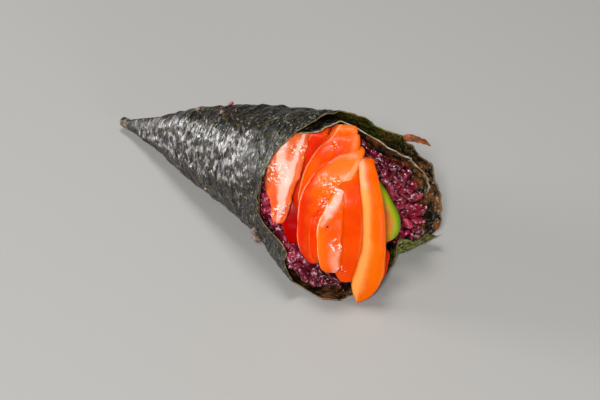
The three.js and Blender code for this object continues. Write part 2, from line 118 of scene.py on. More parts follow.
# The fish hangs over the mouth along this slanting plane: across, up and out of the mouth.
FACE_ORIGIN = np.array([102.7, -5.9, 26.9])
FACE_OUT = np.array([0.579, -0.643, 0.502])
FACE_ACROSS = np.array([0.743, 0.669, 0.0])
FACE_OUT = FACE_OUT / norm(FACE_OUT)
FACE_ACROSS = FACE_ACROSS / norm(FACE_ACROSS)
FACE_UP = np.cross(FACE_OUT, FACE_ACROSS)
TIP = np.array([0.0, 0.0, NUB_HEIGHT])
CORE_SHARE = 0.45  # fish and avocado reach back to this share of the way to the mouth
THROAT_SHARE = 0.86  # a slice runs straight up to here and then bends

# Slices of salmon by number. Each row is a place on the spine, from the inner end of the part that
# shows to the free end: across, up, out, width and thickness.
SALMON = {
    1: [(8.4, 12.5, -1, 4, 3.4), (8.9, 12.2, 2.6, 4.8, 3.4), (9.7, 8, 5.2, 5.8, 3.6),
        (10.8, 0, 6.2, 6.6, 3.6), (11.2, -11, 5, 7, 3.6), (10.2, -19, 2.8, 8.8, 3.2),
        (8.4, -25, 1, 7.6, 2.6), (6.6, -30, -0.5, 1.6, 1.6)],
    2: [(2, 8, 0.6, 2.4, 2.4), (1.7, 5.8, 3.8, 2.8, 2.4), (0.6, 2.4, 5.6, 4.4, 2.8),
        (-0.9, -2, 6.4, 6.4, 3), (-1.8, -7.5, 6.6, 7.6, 3.2), (-1.8, -13.8, 5.5, 7.2, 3.2),
        (-1.2, -20, 2.8, 5.2, 2.6)],
    3: [(-5, -1, 3.4, 2.4, 2), (-5.6, -4.4, 5.4, 4, 2), (-5.9, -10, 5.2, 4.2, 2.2),
        (-5.8, -15.2, 4, 2.8, 1.8)],
    4: [(5.4, 12, -1, 5, 3.6), (5.2, 11, 1.4, 7.5, 3.4), (5, 6, 3.8, 9.4, 3.6), (4.6, -1, 5, 10.8, 3.8),
        (4.2, -11, 4, 10.6, 3.6), (3.6, -18.6, 1.6, 8.4, 3.2), (4, -23.4, 0.2, 4.6, 2.6)],
    5: [(5, 16, -3, 5, 3.2), (4.8, 14.4, 0.8, 7, 3.4), (1.8, 11, 2.7, 9.4, 3.4),
        (-2.2, 6.8, 3.3, 10.8, 3.4), (-5.6, 1.2, 3.3, 10.6, 3.2), (-6.8, -5.4, 3, 9.2, 3.2),
        (-6.9, -12, 2, 8.2, 3), (-5.6, -17.6, 0.4, 4.4, 2.4)],
    6: [(2.4, 22, -3.6, 5, 3.4), (2.8, 21.4, -0.8, 8.4, 3.4), (1.4, 16.6, 0, 10.8, 3.4),
        (-3.3, 10.8, 0, 10.6, 3.2), (-6.8, 4.4, -0.2, 8.6, 3), (-8.8, -1.6, -1, 5.4, 2.6)],
    7: [(-4.6, 21.6, -6, 4.6, 3), (-5, 21.4, -3.2, 7, 3), (-6.8, 16.5, -2.8, 8.4, 3),
        (-8.2, 10, -3, 8.4, 3), (-9.4, 2.8, -3.6, 7, 2.8), (-10.2, -3.6, -4.6, 4.6, 2.4)],
    8: [(-11.2, 20.6, -5.6, 4, 3.2), (-11.6, 20, -1.8, 6.8, 3.4), (-14, 15.4, -0.6, 9.8, 3.6),
        (-15.8, 10, -0.4, 10.8, 3.6), (-16.2, 3.5, -1, 7.6, 3.4), (-16.6, -2, -1.4, 5.4, 3),
        (-17, -6, -2.2, 3.6, 2.4)],
    9: [(-12.4, 12, -6.6, 3.4, 3), (-11.2, 9, -5.8, 7, 3), (-11.8, 1, -5.2, 8, 3),
        (-12.4, -5.5, -4.4, 7.8, 3), (-11.6, -12.6, -3.8, 4.8, 2.4)],
    10: [(13.4, -15, -5, 3.2, 2.8), (14.2, -17.5, -2.6, 3.8, 2.8), (14, -22.3, -3.4, 2.6, 2.4)],
}
SLICE_BOXINESS = 0.6  # 1 makes a slice's cross-section round, less makes it boxier
RAGGED = {8: 4, 2: 2}  # slices with a rougher cut than the rest

# The avocado wedge's outline in the face's plane, from its upper corner round the rind side.
AVOCADO = [
    (8.5, 8), (12, 7.5), (14.8, 4.6), (17.2, 0.4), (19.2, -3.6), (19.6, -7), (18.6, -10),
    (15.4, -12), (11, -12.5), (8.5, -12.5),
]
RIND_POINTS = (1, 6)  # the rind lies between these two of its points
AVOCADO_MIDDLE = np.array([14.0, -3.0])
AVOCADO_OUT = -1.5  # its face lies this far behind the plane
# Its size on the way back to the tip, then size and height of its rounded end.
AVOCADO_BODY = [0.45, 0.55, 0.65, 0.75, 0.85, 0.93]
AVOCADO_END = [(1, -1.6), (0.985, -1.1), (0.95, -0.7), (0.88, -0.3), (0.8, 0), (0.6, 0.25), (0.4, 0.4)]

# ---- floor, light and camera

CAMERA_PLACE = (310.8, -252.6, 299.6)  # in the roll's own layout
CAMERA_HEADING = (-0.513, 0.569, -0.643)
SENSOR_WIDTH = 36
LENS = 85.02
# Each softbox: name, place in metres, width in metres and power in watts.
SOFTBOXES = [
    ("left_light", (-0.74, -0.42, 0.13), 0.26, 9),
    ("front_light", (0.42, -0.6, 0.66), 0.14, 7.2),
    ("top_light", (-0.15, 0.1, 0.85), 0.25, 4),
    ("low_light", (0.85, -0.3, 0.14), 0.25, 2.5),
]
LIT_POINT = (0.02, 0, 0.02)  # where the softboxes point
ROOM_COLOUR = (0.9, 0.92, 1, 1)
ROOM_STRENGTH = 0.15
FLOOR_HALF = 3
FLOOR_COLOUR = "#a09e9a"

# ---- finishes


def colour(code):
    """A hex colour as the linear one that shader sockets hold."""
    parts = [int(code[k:k + 2], 16) / 255 for k in (1, 3, 5)]
    linear = [p / 12.92 if p <= 0.04045 else ((p + 0.055) / 1.055) ** 2.4 for p in parts]
    return (*linear, 1)


# How each slice looks: its flesh, a darker flesh in blotches of its own, how much that darker flesh
# is gathered as painted shade towards its right edge (below 0 to its left), how wet it is, and its
# streaks: of fat, wide ones of lighter flesh at the upper ends of slices 4 to 6, and a painted
# highlight on slice 1. A streak has a place across the slice (-1 left edge, 1 right edge), a drift of
# that place towards the free end, a width, a strength, where along the slice it starts and stops, and
# a colour.
FISH_LOOKS = {
    1: ("#e26a02", "#e05600", 0.1, 0.2, [
        (-0.6, 0.1, 0.55, 0.9, 0.1, 1, "#ea9c50"), (-0.45, 0, 0.55, 0.6, 0.1, 0.4, "#e4aa8c"),
        # the third streak of slice 1, along its right edge, is a painted highlight
        (0.9, -0.1, 0.1, 0.3, 0.3, 0.9, "#e48c48")]),
    2: ("#ea660a", "#e44c00", 0.1, 0.8, [
        (0.5, -1.7, 0.5, 0.95, 0.2, 0.62, "#e4ac9a"), (-0.93, 0, 0.12, 0.7, 0.5, 1.1, "#e49c78"),
        (0.2, 0.2, 0.45, 0.6, 0.8, 1.1, "#e4a68c")]),
    3: ("#e04600", "#cc2400", -0.2, 0.2, [(-0.95, 0, 0.12, 0.4, 0.2, 1, "#e48c48")]),
    4: ("#e04a00", "#d43400", 0.1, 0.1, [
        (0, 0, 1.4, 0.6, 0, 0.4, "#e66206"), (0.25, 0.2, 0.08, 0.15, 0.2, 0.8, "#e48c48")]),
    5: ("#ea6000", "#cc2800", -0.3, 0.7, [
        (0.2, 0, 1.4, 0.8, 0, 0.54, "#ea7420"), (-0.96, 0, 0.08, 0.6, 0.15, 1, "#e4986a"),
        (0.5, 0, 0.3, 0.35, 0.25, 0.5, "#e4b090")]),
    6: ("#f26000", "#e43c00", -0.1, 0.3, [
        (0.2, 0, 1.4, 0.8, 0, 0.36, "#ee7428"), (-0.94, 0, 0.1, 0.8, 0.2, 1, "#e89e6e"),
        (0.1, -1.6, 0.1, 0.6, 0.2, 0.55, "#e89e6e"), (0.5, 0, 0.3, 0.4, 0.36, 0.48, "#e8a480")]),
    7: ("#ee4600", "#da2000", -0.3, 0.1, [(0, -0.6, 0.08, 0.3, 0.2, 0.8, "#e48c48")]),
    8: ("#e66c34", "#dc4c18", 0, 0.8, [
        (-0.7, 1.2, 0.24, 0.8, 0.2, 0.7, "#ecc6b6"), (0.7, -0.9, 0.24, 0.75, 0.2, 1, "#ecc6b6")]),
    # slice 9 lies in shade between its neighbours, so its deep red flesh is painted shade
    9: ("#b80200", "#980000", 0, 0, [(-0.9, 0, 0.1, 0.1, 0.2, 1, "#dd8a48")]),
    10: ("#cc3400", "#a81600", 0, 0, [(-0.9, 0, 0.1, 0.2, 0.2, 1, "#dd8a48")]),
}
LANES = "#e4841c"
GLINT = "#fbe9e2"
GAP_SHADE_RED = "#b41000"  # painted shade: the deep red of flesh in the gaps between slices, where little light comes through
# Where the fish glistens with small beads of water: across, up and how far the spot reaches.
WET_SPOTS = [
    (-17, 9.7, 5), (-11.3, 16.6, 4), (-16.4, -2, 4.5), (-1.2, 6.6, 5), (-3.4, 2, 3),
    (0, -11, 3.4), (3, -13.6, 3), (1.5, -19.5, 3.6), (-0.6, 18, 2.5),
]

# ---- small tools


def metres(points):
    return (np.asarray(points, float) - MIDDLE) / 1000


def mix(low, high, share):
    return low + (high - low) * share


def smooth_step(value, low, high):
    share = np.clip((value - low) / (high - low), 0, 1)
    return share * share * (3 - 2 * share)


def round_angle(angles, middle, start, full, strength):
    """A patch round the middle angle: start and full are cosines of the way from it."""
    return strength * smooth_step(np.cos(np.radians(angles - middle)), start, full)


def look_up(table, at):
    return np.interp(at, [row[0] for row in table], [row[1] for row in table])


def along(rows, share):
    """A smooth curve through rows of numbers, share 0 to 1."""
    place = share * (len(rows) - 1)
    start = min(int(place), len(rows) - 2)
    f = place - start
    picked = [rows[min(max(start + k, 0), len(rows) - 1)] for k in (-1, 0, 1, 2)]
    a, b, c, d = [np.asarray(row, float) for row in picked]
    bend = 2 * a - 5 * b + 4 * c - d
    twist = 3 * b - a - 3 * c + d
    return b + 0.5 * f * (c - a + f * (bend + f * twist))


def heading_at(rows, share, near):
    """Which way such a curve runs, from places that near on either side."""
    return unit(along(rows, min(share + near, 1))[:3] - along(rows, max(share - near, 0))[:3])


def unit(vector):
    return vector / norm(vector)


def wobble(point, size, seed=0):
    """Smooth noise from -1 to 1 whose bumps are about size millimetres across."""
    return noise.noise(Vector(point) / size + Vector((seed, 2 * seed, -seed)))


def place_thing(name, data):
    thing = bpy.data.objects.new(name, data)
    bpy.context.scene.collection.objects.link(thing)
    return thing


def make_piece(name, points, faces, replaced, slot, material):
    mesh = bpy.data.meshes.new(name)
    mesh.from_pydata(metres(points).tolist(), [], faces)
    mesh.polygons.foreach_set("use_smooth", [True] * len(mesh.polygons))
    mesh.materials.append(material)
    mesh.update()
    piece = place_thing(name, mesh)
    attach(piece, "root")
    if replaced:
        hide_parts(replaced)
    return piece


def paint(piece, name, values):
    """Stores one number per vertex, which a material reads by that name."""
    attribute = piece.data.attributes.new(name, "FLOAT", "POINT")
    attribute.data.foreach_set("value", np.asarray(values, np.float32))


def circle(count):
    """Cosine and sine of evenly spaced turns round a circle."""
    turns = [2 * math.pi * k / count for k in range(count)]
    return [(math.cos(turn), math.sin(turn)) for turn in turns]


def skin(rings):
    """Points and faces of a skin over rings of equally many points, closed by a fan at each end."""
    count = len(rings[0])
    edges = [[(first + k, first + (k + 1) % count) for k in range(count)]
             for first in range(0, count * len(rings), count)]
    points = [point for ring in rings for point in ring]
    points += [np.mean(rings[0], axis=0), np.mean(rings[-1], axis=0)]
    faces = [(a, b, b + count, a + count) for ring in edges[:-1] for a, b in ring]
    faces += [(b, a, len(points) - 2) for a, b in edges[0]]
    faces += [(a, b, len(points) - 1) for a, b in edges[-1]]
    if winds_backwards(rings):
        faces = [face[::-1] for face in faces]
    return points, faces


def joined(parts):
    """Points and faces of several skins as one."""
    points, faces = [], []
    for more, shape in parts:
        faces += [tuple(len(points) + k for k in face) for face in shape]
        points += more
    return points, faces


def winds_backwards(rings):
    """Whether rings run so that a skin's faces would look inwards."""
    half = len(rings) // 2
    ring = np.asarray(rings[half])
    centre = ring.mean(axis=0)
    onward = np.mean(rings[half + 1], axis=0) - centre
    spokes = ring - centre
    return np.cross(spokes, np.roll(spokes, -1, axis=0)).sum(axis=0).dot(onward) < 0


# ---- the roll's form


def grown(x, start, swell):
    share = np.clip((x - start) / (LENGTH - start), 0, 1)
    return 1 - (1 - share) ** swell


def crown(x):
    return mix(NUB_HEIGHT + NUB_RADIUS, CROWN, grown(x, CROWN_FROM, CROWN_SWELL))


def dents(x, angle):
    a = np.radians(angle)
    share = np.clip(x / LENGTH, 0, 1) * smooth_step(np.abs(np.fmod(a, 2 * np.pi)), 0, CALM_END)
    return WAVE * share * (np.sin(3 * a + x / 9) + np.sin(5 * a - x / 13) + np.sin(8 * a + x / 6))


def roll_point(x, angle, inset):
    """Points on the roll: inset is how deep they lie under the sheet's outer face."""
    x, angle, inset = np.broadcast_arrays(*[np.asarray(v, float) for v in (x, angle, inset)])
    sine, cosine = np.sin(np.radians(angle)), np.cos(np.radians(angle))
    floor = (NUB_HEIGHT - NUB_RADIUS) * np.clip(1 - x / REST_FROM, 0, 1)
    rise = np.clip(x / NUB_RISE, 0, 1)
    middle = mix(NUB_HEIGHT, WIDEST * crown(x), rise)
    half = mix(NUB_RADIUS, HALF_WIDTH, grown(x, NUB_LENGTH, WIDTH_SWELL))
    tall = np.where(cosine < 0, crown(x) - middle, (middle - floor) * SAG)
    low_power = mix(2, SQUARENESS, smooth_step(x, *SQUARED_OVER))
    power = np.where(cosine < 0, ROOF_SQUARENESS, low_power)
    reach = (np.abs(sine / half) ** power + np.abs(cosine / tall) ** power) ** (-1 / power)
    reach = reach * (1 - PINCH * (1 - smooth_step(x, *PINCH_FADES)))
    radius = reach + dents(x, angle) - inset
    safe = np.maximum(cosine, 1e-6)
    radius = np.where(cosine > 0, np.minimum(radius, (middle - floor - inset) / safe), radius)
    shrunk = np.where(x < 0, 1 - NUB_CLOSING * (x / NUB_END), 1)
    radius = np.maximum(radius * shrunk, LEAST_RADIUS)
    across = SIDE_SHIFT * rise + radius * sine
    droop = NUB_DROOP * (1 - smooth_step(x, NUB_END, NUB_LENGTH))
    return np.stack([x, across, middle - droop - radius * cosine], axis=-1)


def turn_inset(x, turn):
    """How far a turn of the sheet lies inside the outermost one."""
    share = np.clip((x - FREE_FROM) / (look_up(RIM, turn) - FREE_FROM), 0, 1)
    return look_up(CLOSE_INSET, turn) + look_up(FREE_INSET, turn) * share ** FREE_GROWTH


def space_inset(x, angle):
    """How far the space inside all turns lies under the outer face."""
    turn = np.mod(START_ANGLE - angle, 360)
    inner = np.where(turn < WINDING - 360, turn + 360, turn)
    easing = 1 - np.clip((inner - (WINDING - 360)) / END_EASING, 0, 1)
    nearest = np.maximum(turn_inset(x, inner), turn_inset(x, WINDING) * easing)
    return nearest + SHEET + RICE_GAP


# ---- shader helpers


def connect(made, inputs):
    """Fills a node's inputs: a socket is wired in, a text such as "#a0b0c0" is a colour."""
    for name, value in inputs.items():
        if isinstance(value, bpy.types.NodeSocket):
            made.id_data.links.new(value, made.inputs[name])
        else:
            made.inputs[name].default_value = colour(value) if isinstance(value, str) else value


def node(kind, inputs, **settings):
    """Outputs of a new node, made in the tree of the sockets that are wired into it."""
    tree = next(value.id_data for value in inputs.values() if isinstance(value, bpy.types.NodeSocket))
    made = tree.nodes.new("ShaderNode" + kind)
    for name, value in settings.items():
        setattr(made, name, value)
    connect(made, inputs)
    return made.outputs


def blend(share, low, high):
    """Two colours mixed. A Mix node keeps the share in socket 0 and the colours in 6 and 7."""
    return node("Mix", {0: share, 6: low, 7: high}, data_type="RGBA")[2]


def ramp(value, low, high, to_low=0, to_high=1):
    inputs = {"Value": value, "From Min": low, "From Max": high, "To Min": to_low, "To Max": to_high}
    return node("MapRange", inputs, interpolation_type="SMOOTHSTEP")["Result"]


def maths(operation, first, second=0):
    return node("Math", {0: first, 1: second}, operation=operation)[0]


add = partial(maths, "ADD")
minus = partial(maths, "SUBTRACT")
times = partial(maths, "MULTIPLY")


def clouds(vector, scale, detail=2, roughness=0.5, twist=0):
    """Noise from 0 to 1."""
    inputs = {"Vector": vector, "Scale": scale, "Detail": detail, "Roughness": roughness, "Distortion": twist}
    return node("TexNoise", inputs)["Fac"]


def swing(*settings):
    """The same noise, from -0.5 to 0.5."""
    return minus(clouds(*settings), 0.5)


def painted(place, name):
    """What paint() stored, in the material that the place belongs to."""
    made = place.id_data.nodes.new("ShaderNodeAttribute")
    made.attribute_name = name
    return made.outputs["Fac"]


SOCKET_KINDS = {"Place": "NodeSocketVector", "Colour": "NodeSocketColor", "Patches": "NodeSocketColor"}


def new_group(name, inputs, outputs):
    """An empty node group. Its sockets hold numbers, apart from those in SOCKET_KINDS."""
    group = bpy.data.node_groups.new(name, "ShaderNodeTree")
    for side, labels in (("INPUT", inputs), ("OUTPUT", outputs)):
        for label in labels:
            kind = SOCKET_KINDS.get(label, "NodeSocketFloat")
            group.interface.new_socket(label, in_out=side, socket_type=kind)
    return group, group.nodes.new("NodeGroupInput").outputs, group.nodes.new("NodeGroupOutput")


def new_material(name):
    """A material, its shader and the place on the piece in metres."""
    material = bpy.data.materials.new(name)
    material.use_nodes = True
    nodes = material.node_tree.nodes
    return material, nodes["Principled BSDF"], nodes.new("ShaderNodeTexCoord").outputs["Object"]


def finish_surface(shader, base, roughness, height, depth, specular, soft=()):
    """Wires up a material's shader; soft is its subsurface weight, scale and radius."""
    bump = node("Bump", {"Height": height, "Distance": depth, "Strength": 1})
    connect(shader, {"Base Color": base, "Roughness": roughness, "Normal": bump["Normal"],
                     "Specular IOR Level": specular})
    connect(shader, dict(zip(("Subsurface Weight", "Subsurface Scale", "Subsurface Radius"), soft)))


def wet_beads_group():
    """Moisture on cut food: fine beads with pale glints, in some places only."""
    inputs = ["Place", "Bead Scale", "Glints", "Share", "Dry", "Wet"]
    group, given, out = new_group("wet_beads", inputs, ["Roughness", "Height", "Glint"])
    beads = swing(given["Place"], given["Bead Scale"], 2, 0.6)
    patches = ramp(add(clouds(given["Place"], 300, 3), given["Share"]), 0.9, 1.15)
    glint = ramp(add(beads, given["Glints"]), 0.1, 0.18)
    rough = node("Mix", {0: patches, 2: given["Dry"], 3: given["Wet"]}, data_type="FLOAT")
    connect(out, {"Roughness": rough[0], "Height": times(beads, patches), "Glint": times(glint, patches)})
    return group


def blotches_group():
    """Soft patches of a second colour over a first one."""
    inputs = ["Place", "Scale", "Edge", "Share", "Colour", "Patches"]
    group, given, out = new_group("blotches", inputs, ["Colour"])
    cloud = clouds(given["Place"], given["Scale"], 4, 0.62)
    level = minus(1, given["Share"])
    mask = ramp(cloud, minus(level, given["Edge"]), add(level, given["Edge"]))
    connect(out, {"Colour": blend(mask, given["Colour"], given["Patches"])})
    return group


STREAK_SOCKETS = ["Middle", "Drift", "Width", "Strength", "Start", "Stop"]


def fat_streak_group():
    """The mask of one streak of fat, from how far across and down its slice a point lies."""
    group, given, out = new_group("fat_streak", ["Across", "Down", "Place", *STREAK_SOCKETS], ["Mask"])
    ragged = swing(given["Place"], 420, 4, 0.65)
    waves = swing(given["Place"], 110, 1)
    middle = add(given["Middle"], times(given["Down"], given["Drift"]))
    middle = add(add(middle, times(waves, 0.5)), times(ragged, 0.16))
    distance = maths("ABSOLUTE", minus(given["Across"], middle))
    inside = ramp(distance, times(given["Width"], 0.3), given["Width"], 1, 0)
    frayed = add(given["Down"], times(ragged, 0.25))
    begun = ramp(minus(frayed, given["Start"]), -0.05, 0.08)
    ended = ramp(minus(frayed, given["Stop"]), -0.1, 0.05, 1, 0)
    connect(out, {"Mask": times(times(inside, times(begun, ended)), given["Strength"])})
    return group


WET_BEADS = wet_beads_group()
BLOTCHES = blotches_group()
FAT_STREAK = fat_streak_group()


def moisture(place, scale, dry, wet, share=0.5, glints=0):
    inputs = {"Place": place, "Bead Scale": scale, "Dry": dry, "Wet": wet, "Share": share, "Glints": glints}
    return node("Group", inputs, node_tree=WET_BEADS)


def blotched(place, scale, first, second, share=0.5, edge=0.12):
    patches = {"Colour": first, "Patches": second, "Share": share, "Edge": edge}
    return node("Group", {"Place": place, "Scale": scale, **patches}, node_tree=BLOTCHES)["Colour"]


# ---- materials


def seaweed_material():
    material, shader, place = new_material("seaweed")
    edge = painted(place, "edge")
    wrinkled = node("Mapping", {"Vector": place, "Scale": (1, 0.45, 0.45)})["Vector"]
    greens = blotched(place, 300, "#090806", "#28270a", share=0.42)
    browns = blotched(place, 130, greens, "#1a0f07", share=0.45)
    inner = blotched(place, 240, "#140d07", "#70401c", share=0.45)
    # Pale greys over the outer face are painted sheen, standing for light off the wet creases.
    sheen_greys = blotched(wrinkled, 1500, "#64605e", "#a49e9f", edge=0.16)
    moss = blotched(place, 950, "#12140a", "#66700e", edge=0.08)
    crinkles = times(swing(wrinkled, 620, 3, 0.65, 0.8), 2.6)
    sheen_mask = ramp(add(painted(place, "painted_sheen"), crinkles), 0.28, 0.86, 0, 0.95)
    outer = blend(sheen_mask, browns, sheen_greys)
    either = blend(painted(place, "inside"), outer, inner)
    dark = blend(painted(place, "lush"), either, moss)

    # Olive flecks of the sheet's own, which also stand in as painted glints, most of all near the rim.
    flecks_and_glints = ramp(clouds(place, 1200, 3, 0.6), 0.57, 0.68)
    clusters = ramp(clouds(place, 240, 3, 0.6), 0.42, 0.64, 0.08, 0.6)
    by_rim = ramp(edge, 0.5, 4.5, 0.6, 0)
    with_flecks_and_glints = blend(times(flecks_and_glints, add(clusters, by_rim)), dark, "#8e8860")
    # Painted glints: pale specks that stand for light glinting off the sheet.
    painted_glints = ramp(clouds(wrinkled, 1900, 2, 0.6), 0.63, 0.72, 0, 0.7)
    with_painted_glints = blend(painted_glints, with_flecks_and_glints, "#aaa69e")

    nub = add(painted(place, "nub"), times(swing(place, 500), 1.2))
    stalk = blend(ramp(nub, 0.9, 1.2), "#1c1812", "#70664f")
    tipped = blend(ramp(nub, 0.4, 0.75), with_painted_glints, stalk)
    frayed = add(edge, times(clouds(place, 700), 1.1))
    torn = ramp(frayed, 0.4, 0.9, 0.9, 0)
    # The inner turn's cut edge is drawn paler than the rest of the rim: a painted highlight of light catching
    # it.
    highlight_patches = ramp(clouds(place, 330, 3, 0.6), 0.38, 0.6, 0.1, 0.9)
    rim = blotched(place, 170, "#5c5a28", "#86694a")
    torn_rim = blend(times(painted(place, "inner_edge_highlight"), highlight_patches), rim, "#a8a690")
    base = blend(torn, tipped, torn_rim)

    fibres = clouds(wrinkled, 1300, 1)
    folds = maths("ABSOLUTE", swing(wrinkled, 480, 1))
    height = minus(times(fibres, 0.24), times(folds, 1.7))
    gloss = add(clouds(place, 380), times(painted(place, "dull"), 0.5))
    roughness = ramp(gloss, 0.35, 0.95, 0.26, 0.66)
    finish_surface(shader, base, roughness, height, depth=0.0006, specular=0.3)
    return material


def fish_material(number):
    flesh, darker_tone_and_shade, shade_lean, wetness, streaks = FISH_LOOKS[number]
    material, shader, place = new_material(f"salmon_flesh_{number}")
    across = painted(place, "across")
    down = painted(place, "down")
    # Darker flesh in blotches of its own, which the lean gathers towards one edge as painted shade.
    base = blotched(place, 70, flesh, darker_tone_and_shade, share=add(times(across, shade_lean), 0.5), edge=0.2)
    lanes = node("CombineXYZ", {"X": times(across, 9), "Y": times(down, 2)})
    grain = clouds(lanes["Vector"], 1.6, 3)
    base = blend(ramp(grain, 0.58, 0.85, 0, 0.12), base, LANES)
    for *numbers, fat in streaks:
        inputs = {"Across": across, "Down": down, "Place": place, **dict(zip(STREAK_SOCKETS, numbers))}
        streak = node("Group", inputs, node_tree=FAT_STREAK)
        base = blend(streak["Mask"], base, fat)
    # Painted shade: flesh is darkened where other pieces close in around it.
    base = blend(ramp(painted(place, "gap_shade"), 0.6, 1.1, 0, 0.5), base, GAP_SHADE_RED)
    share = add(times(painted(place, "wet"), 0.5), 0.1 + 0.2 * wetness)
    wet = moisture(place, 1500, dry=0.24, wet=0.08, share=share, glints=0.08 * wetness)
    base = blend(times(wet["Glint"], 0.9), base, GLINT)
    height = add(wet["Height"], times(grain, 0.06))
    finish_surface(shader, base, wet["Roughness"], height, depth=0.0007,
                   specular=0.04 + 0.12 * wetness, soft=(0.45, 0.003, (1, 0.22, 0.04)))
    return material


def rice_material():
    material, shader, place = new_material("dark_rice")
    body = blotched(place, 260, "#4a0210", "#8c0a22", share=0.48, edge=0.2)
    # Paler grains: some at random, and painted light on the heap's bright side.
    base = blend(times(painted(place, "pale_and_lit"), 0.7), body, "#b83050")
    base = blend(painted(place, "shaded"), base, "#200105")
    wet = moisture(place, 1000, dry=0.14, wet=0.1, share=0.55, glints=0.04)
    base = blend(times(wet["Glint"], 0.8), base, "#e0a8b8")
    finish_surface(shader, base, wet["Roughness"], wet["Height"], depth=0.0005,
                   specular=0.4, soft=(0.1, 0.001, (1, 0.3, 0.4)))
    return material


def avocado_material():
    material, shader, place = new_material("avocado_with_salmon_reflection")
    # The flesh's orange is painted reflection of the salmon beside it; the green by the rind is its own.
    flesh = blotched(place, 90, "#c06402", "#a84c00", share=0.45, edge=0.2)
    depth = add(painted(place, "from_rind"), times(swing(place, 260), 1.4))
    green = blend(ramp(depth, 0.2, 1.6), "#5c8402", "#8e9206")
    base = blend(ramp(depth, 1.2, 3.6), green, flesh)
    wet = moisture(place, 1100, dry=0.45, wet=0.3)
    finish_surface(shader, base, wet["Roughness"], wet["Height"], depth=0.0003,
                   specular=0.18, soft=(0.2, 0.0015, (0.9, 0.8, 0.2)))
    return material


def scrap_material(name, first, second):
    material, shader, place = new_material(name)
    wet = moisture(place, 1200, dry=0.5, wet=0.3)
    finish_surface(shader, blotched(place, 500, first, second), wet["Roughness"], wet["Height"],
                   depth=0.0004, specular=0.2, soft=(0.1, 0.001))
    return material


# ---- seaweed

SEAWEED_COLUMNS = 380
SEAWEED_ROWS = 120
COLUMN_EASING = 0.35  # how much the columns crowd towards the outer corner
ROW_EASING = 1.12  # above 1, the rows crowd towards the mouth
INNER_START = (338, 357)  # turns between which the sheet's start draws back to INNER_TIP
RIM_ARC = 0.42  # millimetres along the rim for a degree
END_ARC = 0.4  # and for a degree from the sheet's ends, where its edge is frayed
END_MARGIN = 0.3
CREASED_FROM = 18  # creases are at their full height from here along x
CREASED_ABOVE = 5  # and this high over the floor
LEAST_CREASES = 0.25
INNER_EDGE = 0.2  # the inner turn's edge is frayed this much wider
INNER_EDGE_FROM = (540, 575)
INNER_RAGGED = 1.6  # and this many times as ragged
SHEEN_ANGLE = -128  # round here the painted sheen is strongest, on the side the light falls on
NUB_FADES = (2, 12)  # along x, where the stalk's look fades
MOSSY_TURNS = (20, 45)  # the moss-green outer corner fades out over these turns
MOSSY_ALONG = (98, 109)  # and fades in along x
CROWN_STARTS = (205, 235)  # under the crown the inner face is half as mossy, from these turns
CROWN_STOPS = (280, 306)  # to these
DULL_ROUND = (SHEEN_ANGLE, 0.3, 0.8, 0.4)  # its dull part, as round_angle() takes it
DULL_SIDE = (64, 80)  # and along x, where that starts
DULL_TIP = (10, 30)  # along x, where the dull tip turns glossy


def torn_edge(turn):
    """How far the sheet's edge is torn in or out at a turn."""
    arc = turn * RIM_ARC
    ragged = 0.5 * wobble((arc, 0, 0), 5) + 0.55 * wobble((arc, 3, 0), 1.8)
    torn = ragged - 1.2 * max(wobble((arc, 9, 0), 3.4), 0) ** 2
    return torn * mix(1, INNER_RAGGED, smooth_step(turn, *INNER_EDGE_FROM))


def creases(point):
    """Height of the wet sheet's creases, which run round the roll."""
    x, y, z = point
    blotches = wobble(point, 3.4, 5)
    broad = wobble((x, 0.5 * y, 0.5 * z), 4.2)
    sharp = 1 - 2.4 * abs(wobble((x, 0.4 * y, 0.4 * z), 3, 7))
    small = wobble(point, 1.8, 3)
    return 0.5 * blotches + 0.2 * broad + 0.24 * sharp + 0.28 * small


def sheet_faces():
    """Faces of the sheet: outer and inner together, then its edges."""
    wide = SEAWEED_COLUMNS + 1
    inner = wide * (SEAWEED_ROWS + 1)
    last = SEAWEED_ROWS * wide
    faces = []
    for r in range(SEAWEED_ROWS):
        for c in range(SEAWEED_COLUMNS):
            a = r * wide + c
            faces.append((a, a + wide, a + wide + 1, a + 1))
            faces.append((inner + a, inner + a + 1, inner + a + wide + 1, inner + a + wide))
    edges = []
    for c in range(SEAWEED_COLUMNS):
        edges += [(c, c + 1), (last + c + 1, last + c)]
    for a in range(0, last, wide):
        b = a + SEAWEED_COLUMNS
        edges += [(a + wide, a), (b, b + wide)]
    return faces + [(a, b, inner + b, inner + a) for a, b in edges]


